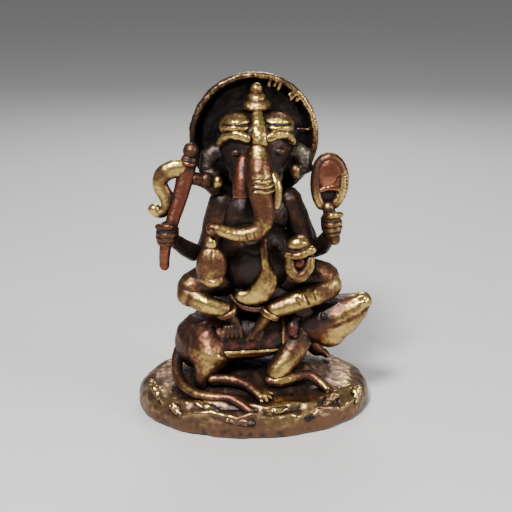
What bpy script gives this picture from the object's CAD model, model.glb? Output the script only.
from math import cos, pi, radians, sin, sqrt

import bmesh
import bpy
import numpy as np
from mathutils import Euler, Matrix, Vector, noise
from mathutils.bvhtree import BVHTree


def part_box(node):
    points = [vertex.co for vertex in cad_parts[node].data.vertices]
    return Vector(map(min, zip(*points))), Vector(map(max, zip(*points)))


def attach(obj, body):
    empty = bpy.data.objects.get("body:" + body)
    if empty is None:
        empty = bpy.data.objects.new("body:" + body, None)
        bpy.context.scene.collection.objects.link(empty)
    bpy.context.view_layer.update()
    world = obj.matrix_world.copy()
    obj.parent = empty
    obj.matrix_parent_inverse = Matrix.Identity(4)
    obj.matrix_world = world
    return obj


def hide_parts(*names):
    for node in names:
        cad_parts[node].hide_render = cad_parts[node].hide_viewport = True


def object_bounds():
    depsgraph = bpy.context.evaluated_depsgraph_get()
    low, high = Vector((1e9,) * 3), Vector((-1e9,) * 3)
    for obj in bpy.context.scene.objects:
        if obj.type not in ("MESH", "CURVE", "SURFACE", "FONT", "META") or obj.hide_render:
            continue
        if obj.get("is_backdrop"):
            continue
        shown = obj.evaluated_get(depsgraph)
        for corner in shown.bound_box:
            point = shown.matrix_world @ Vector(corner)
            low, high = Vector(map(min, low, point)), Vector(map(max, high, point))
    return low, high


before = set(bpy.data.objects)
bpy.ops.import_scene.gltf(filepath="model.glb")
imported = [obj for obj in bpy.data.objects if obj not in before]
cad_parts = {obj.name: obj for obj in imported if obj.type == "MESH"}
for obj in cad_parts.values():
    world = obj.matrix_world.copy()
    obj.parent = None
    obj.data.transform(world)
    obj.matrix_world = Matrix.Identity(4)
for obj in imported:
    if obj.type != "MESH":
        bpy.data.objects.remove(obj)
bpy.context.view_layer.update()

MM = 0.001

# --- Ground -------------------------------------------------------------------------------------------
# The pebble-shaped base is the bottom of a one-piece brass casting, with a low mound under the rat and
# rough lumps and ripples along its front. It was toned brown, and the lumps are rubbed gold.


def toned_brass_group():
    """Colour, shine and height of toned brass, from how rubbed, sunken, raised and red each place is."""
    group = bpy.data.node_groups.new("Toned brass", "ShaderNodeTree")
    face = group.interface
    face.new_socket("Place", in_out="INPUT", socket_type="NodeSocketVector")
    for name, value in (("Rubbed", 0.5), ("Sunken", 0.0), ("Raised", 0.0), ("Red", 0.3)):
        face.new_socket(name, in_out="INPUT", socket_type="NodeSocketFloat").default_value = value
    for name in ("Gold", "Copper", "Toning"):
        face.new_socket(name, in_out="INPUT", socket_type="NodeSocketColor")
    face.new_socket("Color", in_out="OUTPUT", socket_type="NodeSocketColor")
    for name in ("Metallic", "Roughness", "Height"):
        face.new_socket(name, in_out="OUTPUT", socket_type="NodeSocketFloat")
    nodes, link = group.nodes, group.links.new
    given, out = nodes.new("NodeGroupInput"), nodes.new("NodeGroupOutput")

    def maths(kind, a, b=None, c=None, clamp=False):
        node = nodes.new("ShaderNodeMath")
        node.operation, node.use_clamp = kind, clamp
        for socket, value in zip(node.inputs, (a, b, c)):
            if isinstance(value, bpy.types.NodeSocket):
                link(value, socket)
            elif value is not None:
                socket.default_value = value
        return node.outputs[0]

    def speckle(scale, detail, rough):
        node = nodes.new("ShaderNodeTexNoise")
        node.inputs["Scale"].default_value = scale
        node.inputs["Detail"].default_value = detail
        node.inputs["Roughness"].default_value = rough
        link(given.outputs["Place"], node.inputs["Vector"])
        return node.outputs["Fac"]

    def ramp(value, low, high):
        node = nodes.new("ShaderNodeMapRange")
        node.interpolation_type = "SMOOTHSTEP"
        for socket, source in (("Value", value), ("From Min", low), ("From Max", high)):
            if isinstance(source, bpy.types.NodeSocket):
                link(source, node.inputs[socket])
            else:
                node.inputs[socket].default_value = source
        return node.outputs[0]

    def blend(share, a, b):
        node = nodes.new("ShaderNodeMix")
        node.data_type = "RGBA"
        link(share, node.inputs[0])
        link(a, node.inputs[6])
        link(b, node.inputs[7])
        return node.outputs[2]

    broad, fine, pits = speckle(300, 3, 0.6), speckle(1400, 4, 0.65), speckle(3400, 2, 0.5)
    mottle = maths("MULTIPLY_ADD", broad, 1.4, maths("MULTIPLY_ADD", fine, 0.35, -0.875))
    rub = maths("MULTIPLY_ADD", mottle, 0.75, given.outputs["Rubbed"])
    rub = maths("MULTIPLY_ADD", given.outputs["Raised"], 0.6, rub)
    rub = maths("MULTIPLY_ADD", given.outputs["Sunken"], -1.3, rub, clamp=True)
    copper_share = ramp(rub, 0.08, 0.52)
    start = maths("MULTIPLY_ADD", given.outputs["Red"], 0.5, 0.26)
    gold_share = ramp(rub, start, maths("ADD", start, 0.5))
    colour = blend(copper_share, given.outputs["Toning"], given.outputs["Copper"])
    link(blend(gold_share, colour, given.outputs["Gold"]), out.inputs["Color"])
    link(maths("MULTIPLY_ADD", copper_share, 0.35, 0.65), out.inputs["Metallic"])
    shine = maths("MULTIPLY_ADD", gold_share, -0.16, 0.41)
    link(maths("MULTIPLY_ADD", fine, 0.16, maths("ADD", shine, -0.08)), out.inputs["Roughness"])
    bumps = maths("MULTIPLY_ADD", broad, 0.4, maths("MULTIPLY", fine, 0.4))
    link(maths("MULTIPLY_ADD", pits, 0.2, bumps), out.inputs["Height"])
    return group


TONED = toned_brass_group()


def toned(name, gold=(0.60, 0.42, 0.13), copper=(0.125, 0.055, 0.03), toning=(0.02, 0.011, 0.0085),
          spread=1.3):
    """A finish of toned brass with its own three colours, and how widely its patches are spread."""
    material = bpy.data.materials.new(name)
    material.use_nodes = True
    nodes, link = material.node_tree.nodes, material.node_tree.links.new
    shader = nodes["Principled BSDF"]
    group = nodes.new("ShaderNodeGroup")
    group.node_tree = TONED
    place, mapping = nodes.new("ShaderNodeTexCoord"), nodes.new("ShaderNodeMapping")
    mapping.inputs["Scale"].default_value = (1 / spread, 1 / spread, 1 / spread)
    link(place.outputs["Object"], mapping.inputs["Vector"])
    link(mapping.outputs["Vector"], group.inputs["Place"])
    for mask in ("Rubbed", "Sunken", "Raised", "Red"):
        attribute = nodes.new("ShaderNodeAttribute")
        attribute.attribute_name = mask.lower()
        link(attribute.outputs["Fac"], group.inputs[mask])
    for socket, colour in (("Gold", gold), ("Copper", copper), ("Toning", toning)):
        group.inputs[socket].default_value = (*colour, 1)
    for output, socket in (("Color", "Base Color"), ("Metallic", "Metallic"), ("Roughness", "Roughness")):
        link(group.outputs[output], shader.inputs[socket])
    relief = nodes.new("ShaderNodeBump")
    relief.inputs["Strength"].default_value = 0.6
    relief.inputs["Distance"].default_value = 0.3 * MM
    link(group.outputs["Height"], relief.inputs["Height"])
    link(relief.outputs["Normal"], shader.inputs["Normal"])
    return material


def spot(node, x, y, z):
    """The point at these shares of a node's box: from its left, front and bottom."""
    low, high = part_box(node)
    return Vector([low[i] + (high[i] - low[i]) * share for i, share in enumerate((x, y, z))])


def near(node, x, y, z):
    """The point this many mm to the right of, behind and above the middle of a node's box."""
    return spot(node, 0.5, 0.5, 0.5) + Vector((x, y, z)) * MM


def path(node, *offsets):
    """Points this many mm from the middle of a node's box."""
    return [near(node, *offset) for offset in offsets]


def shape_of(*nodes):
    """Clay holding these CAD nodes' shapes."""
    clay = bmesh.new()
    for node in nodes:
        clay.from_mesh(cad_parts[node].data)
    bmesh.ops.remove_doubles(clay, verts=clay.verts, dist=0.002 * MM)
    return clay


def ball(clay, centre, half, turn=(0, 0, 0)):
    """A ball pressed to three half-widths in mm, and turned in degrees."""
    turned = Euler([radians(a) for a in turn]).to_matrix().to_4x4()
    size = Matrix.Diagonal((half[0] * MM, half[1] * MM, half[2] * MM, 1))
    placed = Matrix.Translation(centre) @ turned @ size
    bmesh.ops.create_icosphere(clay, subdivisions=3, radius=1, matrix=placed)


def roll(clay, points, widths):
    """A roll of clay drawn through the points, as thick in mm at each as its width says."""
    ends = [points[0] * 2 - points[1], *points, points[-1] * 2 - points[-2]]
    for step in range(len(points) - 1):
        a, b, c, d = ends[step : step + 4]
        thin = min(widths[step], widths[step + 1]) * MM
        count = max(2, int((c - b).length / (thin * 0.4)))
        for part in range(count + 1):
            t = part / count
            place = 0.5 * (2 * b + (c - a) * t + (2 * a - 5 * b + 4 * c - d) * t**2)
            place += 0.5 * (3 * b - a - 3 * c + d) * t**3
            width = (widths[step] * (1 - t) + widths[step + 1] * t) * MM
            bmesh.ops.create_icosphere(clay, subdivisions=2, radius=width, matrix=Matrix.Translation(place))


def reach(points, line):
    """Distance in mm from each point to a line of straight steps."""
    best = np.full(len(points), 1e9)
    for a, b in zip(line, line[1:]):
        start, step = np.array(a), np.array(b - a)
        along = np.clip((points - start) @ step / (step @ step), 0, 1)
        best = np.minimum(best, np.linalg.norm(points - start - along[:, None] * step, axis=1))
    return best / MM


made = []


def cast(name, clay, nodes, material, slot, rubbed, red=0.3, grain=0.3, smooth=5, dents=0.12, swell=0.16,
         coarse=2.4, lines=()):
    """Turns worked clay into a finished piece: one skin, smoothed, dented, tooled and fixed to the figure.

    Each line is (points, width in mm, rise in mm): a raised fold, or a groove if its rise is below zero.
    """
    mesh = bpy.data.meshes.new(name)
    clay.to_mesh(mesh)
    clay.free()
    rough = bpy.data.objects.new(name + "_clay", mesh)
    bpy.context.scene.collection.objects.link(rough)
    skin = rough.modifiers.new("skin", "REMESH")
    skin.mode, skin.voxel_size = "VOXEL", grain * MM
    thumb = rough.modifiers.new("thumb", "SMOOTH")
    thumb.factor, thumb.iterations = 0.5, smooth
    worked = bpy.data.meshes.new_from_object(rough.evaluated_get(bpy.context.evaluated_depsgraph_get()))
    bpy.data.objects.remove(rough)
    count = len(worked.vertices)
    points, ways = np.empty(count * 3), np.empty(count * 3)
    worked.vertices.foreach_get("co", points)
    worked.vertex_normals.foreach_get("vector", ways)
    points, ways = points.reshape(-1, 3), ways.reshape(-1, 3)
    out = np.full(count, swell)
    for line, width, rise in lines:
        out += rise * np.exp(-((reach(points, line) / width) ** 2))
    broad, fine = 1 / (coarse * MM), 2.7 / (coarse * MM)
    out += [dents * (noise.noise(Vector(p) * broad) + 0.55 * noise.noise(Vector(p) * fine)) for p in points]
    points += ways * (out * MM)[:, None]
    points[:, 2] = np.maximum(points[:, 2], 0)  # nothing goes below the surface the figure stands on
    worked.vertices.foreach_set("co", points.ravel())
    worked.shade_smooth()
    worked.materials.append(material)
    worked.name = name
    for mask, value in (("rubbed", rubbed), ("red", red)):
        layer = worked.attributes.new(mask, "FLOAT", "POINT")
        layer.data.foreach_set("value", np.full(count, value, np.float32))
    piece = bpy.data.objects.new(name, worked)
    bpy.context.scene.collection.objects.link(piece)
    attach(piece, "root")
    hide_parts(*nodes)
    made.append(piece)
    return piece


base_brass = toned("Base brass", gold=(0.40, 0.27, 0.115), copper=(0.16, 0.086, 0.05), spread=2.2)


EDGE_CURVE = 5.6 * MM  # the radius of the base's rounded edge
EDGE_FOOT = 2.0 * MM  # the height that the curve starts at


def slope(around, up):
    """A place on the base's rounded edge: degrees round it, and degrees up its slope."""
    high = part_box("base_mound")[1]
    inward = EDGE_CURVE * (1 - cos(radians(up)))
    x = (high[0] - inward) * cos(radians(around))
    y = (high[1] - inward) * sin(radians(around))
    return Vector((x, y, EDGE_FOOT + EDGE_CURVE * sin(radians(up))))


ripples = [  # along the front: folds of ground, then a crease and a furrow
    ([slope(-168, 50), slope(-155, 64), slope(-145, 46), slope(-130, 58)], 0.9, 0.6),
    ([slope(-128, 28), slope(-114, 46), slope(-101, 34), slope(-90, 52)], 0.8, 0.55),
    ([slope(-100, 76), slope(-86, 60), slope(-74, 70), slope(-60, 56)], 0.9, 0.6),
    ([slope(-72, 30), slope(-58, 42), slope(-46, 26), slope(-34, 36)], 0.8, 0.5),
    ([slope(-52, 70), slope(-38, 78), slope(-26, 60)], 1.0, 0.5),
    ([slope(-120, 74), slope(-108, 80)], 0.9, 0.5),
    ([slope(-36, 88), slope(-43, 62), slope(-46, 34)], 0.4, -0.5),
    ([slope(-110, 58), slope(-98, 62), slope(-84, 44), slope(-70, 52)], 0.7, -0.5),
]
cast("ground", shape_of("base_mound"), ["base_mound"], base_brass, "base_brass", 0.5, 0.3, grain=0.36,
     dents=0.32, coarse=4.2, swell=0.05, lines=ripples)
cast("front_rocks", shape_of("front_rockwork"), ["front_rockwork"], base_brass, "base_brass", 0.6, 0.2,
     grain=0.24, smooth=9, dents=0.36, swell=-0.28, coarse=2.4)

# --- Rat ----------------------------------------------------------------------------------------------
# The rat the figure rides. Its body, head, legs, paws and tail were rolled and balled in wax and pressed
# together, so the seams show. Red-brown, with its jaw, thighs and paws rubbed gold.

rat_brass = toned("Rat brass", copper=(0.125, 0.052, 0.032), spread=1.6)


def plain(name, node, material, slot, rubbed, red=0.3, **work):
    """A piece that follows its CAD shape with nothing pressed on."""
    return cast(name, shape_of(node), [node], material, slot, rubbed, red, **work)


plain("rat_trunk", "rat_body", rat_brass, "rat_brass", 0.3, 0.7)

clay = shape_of("rat_head")
ball(clay, near("rat_head", 0, -2.2, -3.8), (4.2, 3.6, 3.4))
cast("rat_face", clay, ["rat_head"], rat_brass, "rat_brass", 0.42, 0.4, smooth=8, lines=[
    (path("rat_head", (0.8, -6.2, -0.4), (6, -5.6, 2), (9.2, -4.8, 3.8)), 0.6, -0.3),
    (path("rat_head", (4.8, -5.4, 5.6), (7.8, -5, 6.4)), 0.4, -0.5),
    (path("rat_head", (-5, -4.4, 3.6), (-1.4, -5, 4), (1.8, -4.2, 5)), 0.6, 0.4),
])
plain("rat_ear_pair", "rat_ears", rat_brass, "rat_brass", 0.3, grain=0.22, smooth=3)
plain("rat_eye_pair", "rat_eyes", rat_brass, "rat_brass", 0.3, grain=0.15, smooth=2, dents=0.03, swell=0.1)

clay = shape_of("rat_near_hind_leg")
ball(clay, near("rat_near_hind_leg", 0.3, 1, 0.7), (5.4, 3.8, 5.6))
cast("near_hind_leg", clay, ["rat_near_hind_leg"], rat_brass, "rat_brass", 0.42, 0.45)
plain("far_hind_leg", "rat_far_hind_leg", rat_brass, "rat_brass", 0.3, 0.5)


def toes(clay, root, tips, width):
    """Toes fanned out from one root."""
    for tip in tips:
        middle = root.lerp(tip, 0.55) + Vector((0, 0, width * 0.5 * MM))
        roll(clay, [root, middle, tip], [width, width * 1.1, width * 0.75])


clay = shape_of("rat_near_hind_paw")
tips = path("rat_near_hind_paw", (5.4, -4.4, -1.9), (6.7, -4, -1.8), (7.7, -3.1, -1.5), (8.1, -2, -1))
toes(clay, near("rat_near_hind_paw", 4.2, -1.6, -0.7), tips, 0.6)
cast("near_hind_paw", clay, ["rat_near_hind_paw"], rat_brass, "rat_brass", 0.46, grain=0.22, smooth=3)
clay = shape_of("rat_far_hind_paw")
tips = path("rat_far_hind_paw", (6.5, 3.6, -1.2), (7.1, 2.6, -1.1), (7.2, 1.5, -0.8))
toes(clay, near("rat_far_hind_paw", 3.7, 1.1, -0.3), tips, 0.6)
cast("far_hind_paw", clay, ["rat_far_hind_paw"], rat_brass, "rat_brass", 0.42, grain=0.22, smooth=3)
plain("near_upper_foreleg", "rat_near_upper_foreleg", rat_brass, "rat_brass", 0.46, 0.35)
clay = shape_of("rat_near_forearm")
tips = path("rat_near_forearm", (7.3, -2.8, -2.5), (8.4, -2.3, -2.5), (9.2, -1.4, -2.3))
toes(clay, near("rat_near_forearm", 6.5, -0.4, -1.1), tips, 0.6)
cast("near_forearm", clay, ["rat_near_forearm"], rat_brass, "rat_brass", 0.46, grain=0.22, smooth=3)
clay = shape_of("rat_far_foreleg")
tips = path("rat_far_foreleg", (5.9, -0.4, -6.6), (6.4, 0.8, -6.7), (5.9, 2, -6.8))
toes(clay, near("rat_far_foreleg", 3.7, 0.7, -5.7), tips, 0.8)
cast("far_foreleg", clay, ["rat_far_foreleg"], rat_brass, "rat_brass", 0.36, 0.4)
clay = shape_of("rat_tail")
roll(clay, path("rat_tail", (4.7, -7.2, -2.6), (7.2, -8.9, -3.6), (9.2, -10.4, -4.7)), [1.15, 1.25, 1.1])
cast("rat_long_tail", clay, ["rat_tail"], rat_brass, "rat_brass", 0.42, 0.35, grain=0.24, dents=0.08)

# --- Harness and saddle -------------------------------------------------------------------------------
# A beaded band round the rat's neck with a knot, and a cloth over its back with a raised hem.
# All pressed on in thin wax before casting; the hem catches the hand, so it is rubbed gold.

cloth_brass = toned("Cloth brass", copper=(0.15, 0.052, 0.038))


def beads(clay, points, width, gap):
    """Beads in a row along straight steps between the points."""
    for a, b in zip(points, points[1:]):
        count = max(1, round((b - a).length / (gap * MM)))
        for i in range(count):
            ball(clay, a.lerp(b, i / count), (width, width, width))


clay = shape_of("rat_collar")
neckline = path("rat_collar", (-0.7, -8.2, -3.4), (-0.3, -7.8, -0.6), (0.5, -5.6, 2.4), (1.1, -2.2, 4.2))
beads(clay, neckline, 0.75, 1.5)
cast("neck_band", clay, ["rat_collar"], cloth_brass, "cloth_brass", 0.3, grain=0.2, smooth=3, dents=0.06)
plain("neck_knot", "collar_knot", cloth_brass, "cloth_brass", 0.3, grain=0.2, smooth=4, dents=0.1)
plain("saddle_blanket", "saddle_cloth", cloth_brass, "cloth_brass", 0.42, 0.7, lines=[
    (path("saddle_cloth", (x, -9.4, 2.9), (x - 0.5, -9.8, -4.5)), 0.5, -0.25)
    for x in (-7, -3.5, 0, 3.5, 7)])
plain("saddle_border", "saddle_hem", cloth_brass, "cloth_brass", 0.62, 0.2, grain=0.24, smooth=3, dents=0.08)

# --- Trunk and legs -----------------------------------------------------------------------------------
# The seated figure's wrapped hips, round belly and chest, and its folded legs. The belly and chest are
# nearly black under the toning; knees, shins and the sash are rubbed gold.

body_brass = toned("Body brass")
worn_brass = toned("Worn brass")
plain("wrapped_hips", "seat_wrap", cloth_brass, "cloth_brass", 0.14)
plain("round_belly", "belly", body_brass, "body_brass", 0.12, lines=[
    (path("belly", (-6, -7.3, 2.8), (-0.5, -8.8, 1.5), (5.3, -7.3, 2.8)), 0.5, -0.3)])
plain("broad_chest", "chest", body_brass, "body_brass", 0.12)
plain("right_thigh_cast", "right_thigh", body_brass, "body_brass", 0.38)
plain("left_thigh_cast", "left_thigh", body_brass, "body_brass", 0.36)
clay = shape_of("right_shin")
ball(clay, near("right_shin", -4, 1.9, 1.5), (3.0, 2.8, 2.9))
cast("right_shin_cast", clay, ["right_shin"], body_brass, "body_brass", 0.5)
clay = shape_of("left_shin")
ball(clay, near("left_shin", 6.6, 1.6, 2.6), (3.3, 2.9, 3.0))
cast("left_shin_cast", clay, ["left_shin"], body_brass, "body_brass", 0.52, lines=[
    (path("left_shin", (x, -3, 5), (x + 2.4, -3.4, -0.4)), 0.35, -0.3) for x in (-3.3, -1.1, 1.1, 3.5)])

clay = shape_of("right_foot")
for i in range(5):
    tips = path("right_foot", (1.1 * i - 2, -1.5, -3.6))
    toes(clay, near("right_foot", 0.8 * i - 1.3, -1.3, -1.3), tips, 0.6)
cast("right_foot_cast", clay, ["right_foot"], body_brass, "body_brass", 0.3, grain=0.2, smooth=3)
clay = shape_of("left_foot")
for i in range(5):
    tips = path("left_foot", (0.75 * i - 3.4, -0.9, -3.6))
    toes(clay, near("left_foot", 0.5 * i - 2, -0.9, -1.6), tips, 0.5)
cast("left_foot_cast", clay, ["left_foot"], body_brass, "body_brass", 0.4, grain=0.2, smooth=3)
plain("anklet_pair", "anklets", worn_brass, "worn_brass", 0.45, grain=0.2, smooth=2)
plain("sash", "waist_sash", worn_brass, "worn_brass", 0.52, grain=0.24, smooth=3, lines=[
    (path("waist_sash", (3.2, -1.7, 2.2), (3.4, -1.9, -2.2), (1.6, -1.9, -5.2)), 0.35, -0.35),
    (path("waist_sash", (1.4, -1.7, 1.2), (1, -1.9, -2.4), (-2.4, -1.7, -5.2)), 0.3, -0.3)])
plain("waist_string", "waist_cord", cloth_brass, "cloth_brass", 0.4, grain=0.2, smooth=2, dents=0.06)

# --- Arms and hands -----------------------------------------------------------------------------------
# Four arms: the front pair rest on the knees, one hand with the tip of the broken tusk and one cupped
# round a sweet. The back pair are raised. Each hand is a flattened ball of wax, its fingers only grooved in.

plain("right_arm", "front_right_arm", body_brass, "body_brass", 0.2)
plain("left_arm", "front_left_arm", body_brass, "body_brass", 0.2)
plain("raised_right_arm", "back_right_arm", body_brass, "body_brass", 0.16)
plain("raised_left_arm", "back_left_arm", body_brass, "body_brass", 0.2)

clay = shape_of("front_right_hand")
roll(clay, path("front_right_hand", (-2.1, -0.2, -1), (-1.9, -0.2, 1.8)), [1.1, 1.0])
roll(clay, path("front_right_hand", (2.2, -0.4, -1.4), (2.2, -0.6, 1.6)), [1.2, 1.0])
roll(clay, path("front_right_hand", (-2, -0.6, -3), (0.4, -1.2, -3.8), (1.8, -0.8, -3.2)), [1.0, 1.2, 1.0])
gaps = [(path("front_right_hand", (x, -2.1, 1.8), (x + 0.2, -1.2, 4.2)), 0.25, -0.2) for x in (-1.5, 0, 1.4)]
cast("right_hand", clay, ["front_right_hand"], worn_brass, "worn_brass", 0.42, 0.55, grain=0.2, smooth=14,
     lines=gaps)
plain("tusk_tip", "held_tusk_tip", worn_brass, "worn_brass", 0.6, 0.4, grain=0.16, smooth=3, dents=0.05)

clay = shape_of("front_left_hand")
ball(clay, near("front_left_hand", -0.3, -0.2, 3.3), (2.6, 2.0, 2.0))
roll(clay, path("front_left_hand", (-3, -1.2, 1.1), (-0.5, -2.6, 1.3), (2.7, -1.6, 2.3)), [0.8, 0.85, 0.9])
rim = path("front_left_hand", (-2.4, -1.4, 0.1), (-2.1, -1.8, -2.5), (-0.2, -2, -4.1), (1.8, -1.8, -2.5),
           (2.4, -1.4, -0.1))
roll(clay, rim, [1.0, 1.2, 1.35, 1.2, 1.0])
cast("left_hand", clay, ["front_left_hand"], worn_brass, "worn_brass", 0.48, 0.3, grain=0.2, smooth=4)
copper_brass = toned("Copper brass", gold=(0.30, 0.12, 0.065), copper=(0.17, 0.055, 0.035))
plain("sweet_ball", "sweet", copper_brass, "copper_brass", 0.5, grain=0.16, smooth=2, dents=0.05)


def fingers(node, side):
    """The three grooves between the fingers wrapped round a fist; side is the way they slope, -1 or 1."""
    grooves = []
    for z in (0.26, 0.47, 0.68):
        shares = ((0, 0.5), (0.14, 0.16), (0.5, 0), (0.86, 0.16), (1, 0.5))
        grooves.append(([spot(node, x, y, z + side * 0.1 * (x - 0.5)) for x, y in shares], 0.3, -0.32))
    return grooves


clay = shape_of("back_right_fist")
roll(clay, [spot("back_right_fist", 0.9, 0.5, 0.7), spot("back_right_fist", 0.6, 0.06, 0.9),
            spot("back_right_fist", 0.1, 0.3, 0.86)], [0.6, 0.7, 0.55])
cast("goad_fist", clay, ["back_right_fist"], worn_brass, "worn_brass", 0.32, 0.6, grain=0.18, smooth=4,
     lines=fingers("back_right_fist", -1))
clay = shape_of("back_left_fist")
roll(clay, [spot("back_left_fist", 0.1, 0.5, 0.72), spot("back_left_fist", 0.4, 0.06, 0.92),
            spot("back_left_fist", 0.9, 0.3, 0.9)], [0.6, 0.7, 0.55])
cast("noose_fist", clay, ["back_left_fist"], worn_brass, "worn_brass", 0.46, 0.3, grain=0.18, smooth=4,
     lines=fingers("back_left_fist", 1))

# --- Goad and noose -----------------------------------------------------------------------------------
# The elephant goad, a flat copper-red shaft with a knob and a gold hook curled to the outside, and the
# noose, a dished loop of twisted cord. A strut ties the goad to the shoulder so that the metal could flow.


def ring(clay, centre, way, radius, width):
    """A ring of clay round a limb that runs the given way."""
    across = Vector(way).to_track_quat("Z", "Y")
    count = int(2 * pi * radius / (width * 0.8))
    for i in range(count):
        out = across @ Vector((cos(2 * pi * i / count), sin(2 * pi * i / count), 0))
        ball(clay, centre + out * radius * MM, (width, width, width))


clay = shape_of("goad_shaft")
ring(clay, near("goad_shaft", 2.7, 2, 11.4), (-0.25, -0.1, -1), 1.5, 0.5)
cast("goad_stick", clay, ["goad_shaft"], copper_brass, "copper_brass", 0.5, 0.3, grain=0.24, smooth=3,
     dents=0.08)
plain("goad_finial", "goad_knob", worn_brass, "worn_brass", 0.46, 0.4, grain=0.2, smooth=3)
clay = shape_of("goad_hook")
ball(clay, near("goad_hook", -3.5, -0.2, -5), (1.4, 1.2, 1.3))
roll(clay, path("goad_hook", (-1.2, 0.1, 2.7), (0.4, 0.1, 3.8), (2.4, 0.1, 4)), [1.4, 1.5, 1.3])
roll(clay, path("goad_hook", (-0.6, 0, -1.2), (0.2, -0.1, -2.4), (1, -0.2, -2.2)), [1.4, 1.3, 1.1])
cast("goad_curl", clay, ["goad_hook"], worn_brass, "worn_brass", 0.58, 0.2, grain=0.24, smooth=4, dents=0.1)
clay = shape_of("goad_strut")
ball(clay, near("goad_strut", 0.5, -1, 1.2), (1.9, 1.6, 1.8))
cast("shoulder_strut", clay, ["goad_strut"], worn_brass, "worn_brass", 0.36, 0.5, grain=0.24, smooth=4)

centre = near("noose_loop", -0.1, -1.1, 1)
twists = []
for i in range(9):
    way = Vector((cos(radians(i * 10 - 72)), 0, sin(radians(i * 10 - 72))))
    twists.append(([centre + way * 1.8 * MM, centre + way * 7 * MM], 0.24, -0.26))
plain("noose_cord", "noose_loop", worn_brass, "worn_brass", 0.4, 0.5, grain=0.18, smooth=4, dents=0.08,
      lines=twists)
clay = shape_of("noose_web")
ball(clay, near("noose_web", 0.2, -0.5, 0.4), (3.3, 1.25, 4.4))
ball(clay, near("noose_web", -0.1, 0, -4.2), (2.6, 0.8, 2.8))
roll(clay, path("noose_web", (-2.1, -1, -3.2), (0, -1.2, -2.6), (2.3, -1.2, -3)), [0.6, 0.65, 0.6])
cast("noose_dish", clay, ["noose_web"], copper_brass, "copper_brass", 0.5, 0.4, grain=0.2, smooth=6,
     lines=twists)
plain("noose_grip", "noose_handle", worn_brass, "worn_brass", 0.4, 0.3, grain=0.24, smooth=3)

# --- Head ---------------------------------------------------------------------------------------------
# The elephant head, modelled as a ball with two domes, heavy brows and a wide forehead mark; the trunk
# with its rings of skin sweeps to the figure's right. One tusk is whole and the other is broken short.

head_brass = toned("Head brass")
folds = []
for x, side in ((-4.6, -1), (4.7, 1)):
    dome = path("head", (x - 3.5, -4.6, 7.6), (x - 2, -6, 7.6), (x, -6.5, 7.6), (x + 2, -6, 7.6),
                (x + 3.5, -4.6, 7.6))
    socket = path("head", (x + side * 2.2, -5.2, -0.2), (x + side * 0.4, -6.6, -1),
                  (x - side * 1.6, -6.8, -0.2))
    folds += [(dome, 0.32, -0.5), (socket, 0.5, 0.4)]
plain("skull", "head", head_brass, "head_brass", 0.34, smooth=8, dents=0.2, lines=folds)
plain("brow_pair", "brows", worn_brass, "worn_brass", 0.56, 0.2, grain=0.2, smooth=3, dents=0.14, lines=[
    (path("brows", (side * 8.2, 1.2, -1.3), (side * 5.0, -2.3, 1.3), (side * 2.2, -3.3, 0.5)), 0.25, -0.25)
    for side in (-1, 1)])
plain("eye_pair", "eyes", head_brass, "head_brass", 0.24, grain=0.15, smooth=2, dents=0.04)
plain("forehead_stripe", "forehead_mark", worn_brass, "worn_brass", 0.66, 0.1, grain=0.2, dents=0.2, lines=[
    (path("forehead_mark", (-2.3, -3.3, z), (0.1, -3.9, z - 0.3), (2.3, -3.3, z)), 0.3, -0.22)
    for z in (-2.6, -1.3, 0, 1.3, 2.6)])

clay = shape_of("trunk")
ball(clay, near("trunk", 4.5, 2.6, 9.4), (2.1, 1.7, 1.7))
rings = [(path("trunk", (3.1, -2.9, z), (5.8, -3, z - 0.2), (7.6, -1.4, z), (8, 0.4, z + 0.2)), 0.4, 0.6)
         for z in (0.8, 2.05, 3.3, 4.55, 5.8)]
under = [(path("trunk", (x, -4.2, z), (x + 0.4, -3.8, z - 2.6)), 0.26, -0.2)
         for x, z in ((4.8, -8.4), (3, -9), (1.2, -9.2), (-0.6, -9), (-2.4, -8.8))]
nostril = (path("trunk", (-8.2, -2.8, -7.8), (-6.6, -3.6, -7.9)), 0.35, -0.4)
cast("long_trunk", clay, ["trunk"], head_brass, "head_brass", 0.42, 0.6, grain=0.2, smooth=4, dents=0.14,
     lines=rings + under + [nostril])
plain("whole_tusk", "left_tusk", worn_brass, "worn_brass", 0.6, 0.1, grain=0.2, smooth=3, dents=0.05, lines=[
    (path("left_tusk", (-1.6, -2.9, z), (2.4, -2.9, z)), 0.25, -0.22) for z in (-3.2, -2.2, -1.2)])
plain("broken_tusk", "right_tusk", copper_brass, "copper_brass", 0.5, 0.3, grain=0.24, smooth=3, dents=0.08)

ear_brass = toned("Ear brass", gold=(0.34, 0.29, 0.20), copper=(0.10, 0.078, 0.062))
for side, node in ((-1, "right_ear"), (1, "left_ear")):
    folds = []
    for i in range(3):
        root = spot(node, 0.5 - side * 0.4, 0.0, 0.9 - i * 0.25)
        tip = spot(node, 0.5 + side * 0.5, 0.1, 0.7 - i * 0.22)
        folds.append(([root, tip], 0.4, -0.4))
    plain(node + "_flap", node, ear_brass, "head_brass", 0.46, 0.2, grain=0.2, smooth=3, lines=folds)
plain("ear_drops", "earrings", worn_brass, "worn_brass", 0.56, 0.2, grain=0.18, smooth=3, dents=0.05)

# --- Crown and halo -----------------------------------------------------------------------------------
# A stepped cap with beaded tiers and a bud on top, in front of a dished disc with a thin rolled rim. The
# disc is nearly black, since no hand reaches it; the rim is rubbed in places.

clay = shape_of("crown")
ring(clay, near("crown", 0, 0, -2.4), (0, 0, 1), 2.9, 0.5)
ring(clay, near("crown", 0, 0.4, -0.3), (0, 0, 1), 1.9, 0.4)
cast("stepped_crown", clay, ["crown"], head_brass, "head_brass", 0.48, 0.25, grain=0.2, smooth=3, dents=0.2)

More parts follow.
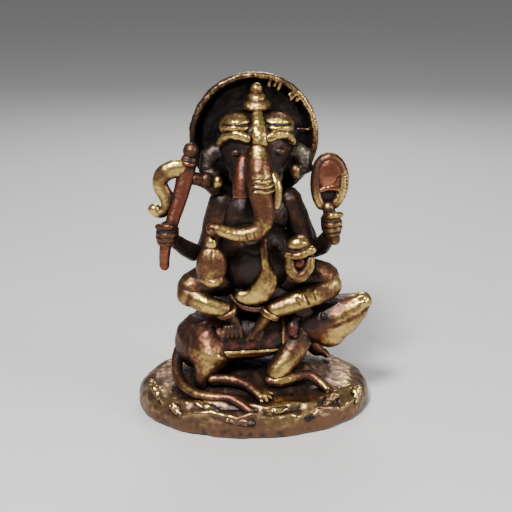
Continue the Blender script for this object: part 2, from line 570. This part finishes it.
halo_brass = toned("Halo brass", gold=(0.5, 0.32, 0.12), copper=(0.07, 0.04, 0.025),
                   toning=(0.008, 0.006, 0.006))
clay = shape_of("halo_disc")
roll(clay, path("halo_disc", (10.6, -1.2, 1.4), (13.6, -2, 1.4)), [0.32, 0.32])  # a spur of metal
cast("halo_dish", clay, ["halo_disc"], halo_brass, "halo_brass", 0.22, 0.6, grain=0.3, dents=0.2)
clay = shape_of("halo_rim")
middle = near("halo_rim", 0, -0.4, -0.7)
# Scraps of metal left along the inside of the rim where the mould leaked.
for angle, inward in ((74, 1.5), (69, 1.1), (64, 1.7), (50, 1.3), (46, 1.9), (41, 1.2)):
    way = Vector((cos(radians(angle)), 0, sin(radians(angle))))
    roll(clay, [middle + way * 14.9 * MM, middle + way * (14.4 - inward) * MM], [0.5, 0.3])
cast("halo_edge", clay, ["halo_rim"], halo_brass, "halo_brass", 0.42, 0.4, grain=0.24, smooth=3, dents=0.2,
     coarse=1.8)

# --- Wear ---------------------------------------------------------------------------------------------
# Where the toning is gone. Hands rub the high and outward places; dirt stays in the seams and hollows.

# The ways a finger could come at a place: spread over half a ball.
AROUND = [Vector((sqrt(1 - h * h) * cos(i * 2.4), sqrt(1 - h * h) * sin(i * 2.4), h))
          for i, h in enumerate((np.arange(14) + 0.5) / 14)]
DEEP = 6  # mm; further away than this, nothing shelters a place from the hand
UP = Vector((0, 0, 0.1 * MM))
PLACES = [  # where, how wide in mm, how much more rubbed, how much redder
    (near("rat_head", 2.9, -5.3, -2.1), 4, 0.3, -0.2),
    (near("rat_head", -2.6, -4.8, 1.4), 3.5, -0.3, 0),
    (near("rat_head", 7.2, -4.8, 5.9), 2.6, 0.3, -0.2),
    (near("rat_near_hind_leg", -0.1, -2.1, -2.1), 4.4, 0.35, -0.3),
    (near("rat_near_upper_foreleg", -1.7, -3.3, -3.2), 4, 0.3, -0.3),
    (near("rat_body", -17.4, -5, 0.9), 6, 0.08, 0.3),
    (near("trunk", -2, -3.6, -8.6), 4.5, 0.35, -0.4),
    (near("trunk", 6.6, -3.2, -7.6), 3, 0.25, -0.2),
    (near("trunk", 5, -3.6, -2.2), 2.8, -0.1, 0.3),
    (near("trunk", 6.4, -3.2, 3.2), 3.2, 0.4, -0.4),
    (near("trunk", 4.5, 1, 9.4), 1.8, 0.4, -0.4),
    (near("head", -4.6, -6.2, 7.4), 3.6, 0.3, -0.2),
    (near("head", 4.7, -6.2, 7.4), 3.6, 0.3, -0.2),
    (near("head", -6.3, -4.8, -2.6), 3.2, -0.2, 0),
    (near("head", 6.7, -4.8, -2.6), 3.2, -0.2, 0),
    (near("front_right_hand", 0, -1.3, 4.9), 2.6, 0.2, -0.3),
    (near("front_right_hand", 0, -1.8, -3.2), 2.6, 0.2, -0.3),
    (near("front_left_hand", -0.3, -1.6, 4.2), 2.8, 0.25, -0.2),
    (near("right_shin", 0.4, -2.7, -0.9), 4, 0.15, 0),
    (near("left_shin", -2.3, -3, -0.9), 6, 0.12, 0),
    (near("noose_loop", 2.5, -1.4, -2.2), 3.4, 0.35, -0.4),
    (near("noose_loop", -2.5, -1.4, -4.8), 2.4, 0.25, -0.3),
    (near("noose_web", 0, -2, -2.4), 1.5, 0.5, -0.4),
    (near("noose_web", -0.1, -1.2, -4.8), 1.3, -0.7, 0),
    (near("goad_hook", 1.4, -0.9, 6.4), 2.6, 0.3, -0.3),
    (near("goad_hook", -3.5, -1.4, -4.1), 2, 0.2, -0.3),
    (near("halo_rim", -0.2, -0.3, 15), 8, 0.1, 0),
    (near("halo_rim", 13.8, -0.3, 5), 6, 0.2, -0.2),
    (near("halo_rim", -15.2, -0.3, -2), 10, -0.35, 0),
    (near("base_mound", -24, -12, 1.4), 6, 0.25, -0.1),
    (near("base_mound", 25, -10, 1.4), 6, 0.25, -0.1),
    (near("base_mound", 6, -20, 0.9), 4, 0.25, -0.2),
    (near("base_mound", 13, -18, 1.4), 4, 0.25, -0.2),
    (near("base_mound", -13, -19, 0.4), 4, 0.2, -0.2),
    (near("base_mound", 16, -19.5, -1.6), 4, 0.1, 0.9),
    (near("base_mound", -4, -22, -0.6), 3, 0.0, 0.7),
    (near("base_mound", 0, 0, 4.4), 14, -0.22, 0.2),
    (near("waist_sash", -0.8, -1.3, -5.8), 3.5, 0.2, -0.2),
    (near("waist_sash", 2.2, -0.3, 6.7), 4, -0.25, 0),
]
PLACES += [(slope(angle, -20), 2.6, -0.18, 0.3) for angle in range(-180, 180, 6)]


def skin_of(piece):
    """A piece's points, the ways they face, and the two ends of each edge."""
    mesh = piece.data
    count = len(mesh.vertices)
    points, ways = np.empty(count * 3), np.empty(count * 3)
    ends = np.empty(len(mesh.edges) * 2, int)
    mesh.vertices.foreach_get("co", points)
    mesh.vertex_normals.foreach_get("vector", ways)
    mesh.edges.foreach_get("vertices", ends)
    return points.reshape(-1, 3), ways.reshape(-1, 3), ends.reshape(-1, 2)


def beside(values, ends, count):
    """The mean of each point's neighbours."""
    total = np.zeros((count, *values.shape[1:]))
    number = np.bincount(ends.ravel(), minlength=count).astype(float)
    np.add.at(total, ends[:, 0], values[ends[:, 1]])
    np.add.at(total, ends[:, 1], values[ends[:, 0]])
    number = np.maximum(number, 1)
    return total / (number[:, None] if values.ndim > 1 else number)


corners, faces = [], []
for piece in made:
    first = len(corners)
    corners += [v.co.copy() for v in piece.data.vertices]
    faces += [[first + i for i in face.vertices] for face in piece.data.polygons]
whole_skin = BVHTree.FromPolygons(corners, faces)
for piece in made:
    points, ways, ends = skin_of(piece)
    count = len(points)
    raised = ((points - beside(points, ends, count)) * ways).sum(1) / MM
    for _ in range(2):
        raised = (raised + beside(raised, ends, count)) / 2
    for mask, column in (("rubbed", 2), ("red", 3)):
        layer = piece.data.attributes[mask]
        values = np.empty(count, np.float32)
        layer.data.foreach_get("value", values)
        for place in PLACES:
            away = reach(points, [place[0], place[0] + UP]) / place[1]
            values += place[column] * np.exp(-(away**2))
        layer.data.foreach_set("value", values)
    sunken = np.zeros(count)
    for i in range(count):
        way = Vector(ways[i])
        place, turn = Vector(points[i]) + way * 0.1 * MM, way.to_track_quat("Z", "Y")
        for ray in AROUND:
            far = whole_skin.ray_cast(place, turn @ ray, DEEP * MM)[3]
            if far is not None:
                sunken[i] += (1 - far / (DEEP * MM)) / len(AROUND)
    for name, values in (("sunken", sunken), ("raised", np.clip(raised * 16, -1, 1))):
        layer = piece.data.attributes.new(name, "FLOAT", "POINT")
        layer.data.foreach_set("value", values.astype(np.float32))

# --- Stage --------------------------------------------------------------------------------------------
# A pale floor, soft light from above and both sides, and a camera a little above the figure's knees.

floor_mesh = bpy.data.meshes.new("floor")
clay = bmesh.new()
bmesh.ops.create_grid(clay, x_segments=1, y_segments=1, size=3)
clay.to_mesh(floor_mesh)
clay.free()
floor = bpy.data.objects.new("floor", floor_mesh)
bpy.context.scene.collection.objects.link(floor)
pale = bpy.data.materials.new("Pale floor")
pale.use_nodes = True
pale.node_tree.nodes["Principled BSDF"].inputs["Base Color"].default_value = (0.55, 0.54, 0.53, 1)
pale.node_tree.nodes["Principled BSDF"].inputs["Roughness"].default_value = 0.85
floor_mesh.materials.append(pale)
floor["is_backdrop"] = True

world = bpy.data.worlds.new("Room")
world.use_nodes = True
world.node_tree.nodes["Background"].inputs["Color"].default_value = (0.75, 0.76, 0.78, 1)
world.node_tree.nodes["Background"].inputs["Strength"].default_value = 0.33
bpy.context.scene.world = world


def lamp(name, place, size, power):
    """A soft round lamp aimed at the figure's middle."""
    light = bpy.data.lights.new(name, "AREA")
    light.shape, light.size, light.energy = "DISK", size, power
    holder = bpy.data.objects.new(name, light)
    holder.location = place
    holder.rotation_mode = "QUATERNION"
    holder.rotation_quaternion = (Vector((0, 0, 0.045)) - holder.location).to_track_quat("-Z", "Y")
    bpy.context.scene.collection.objects.link(holder)


lamp("key", (-0.12, -0.26, 0.38), 0.1, 4.2)
lamp("fill", (0.34, -0.20, 0.20), 0.16, 1.0)
lamp("back", (0.05, 0.32, 0.30), 0.2, 1.0)

low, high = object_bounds()
aim = Vector(((low.x + high.x) / 2 + 0.5 * MM, 0, high.z * 0.464))
distance, azimuth, elevation = 250 * MM, radians(-4), radians(18)
back = Vector((sin(azimuth) * cos(elevation), -cos(azimuth) * cos(elevation), sin(elevation)))
eye = bpy.data.cameras.new("eye")
eye.lens, eye.sensor_width, eye.clip_start, eye.clip_end = 70, 36, 0.01, 10
camera = bpy.data.objects.new("eye", eye)
camera.location = aim + back * distance
camera.rotation_mode = "QUATERNION"
camera.rotation_quaternion = (-back).to_track_quat("-Z", "Y")
bpy.context.scene.collection.objects.link(camera)
bpy.context.scene.camera = camera
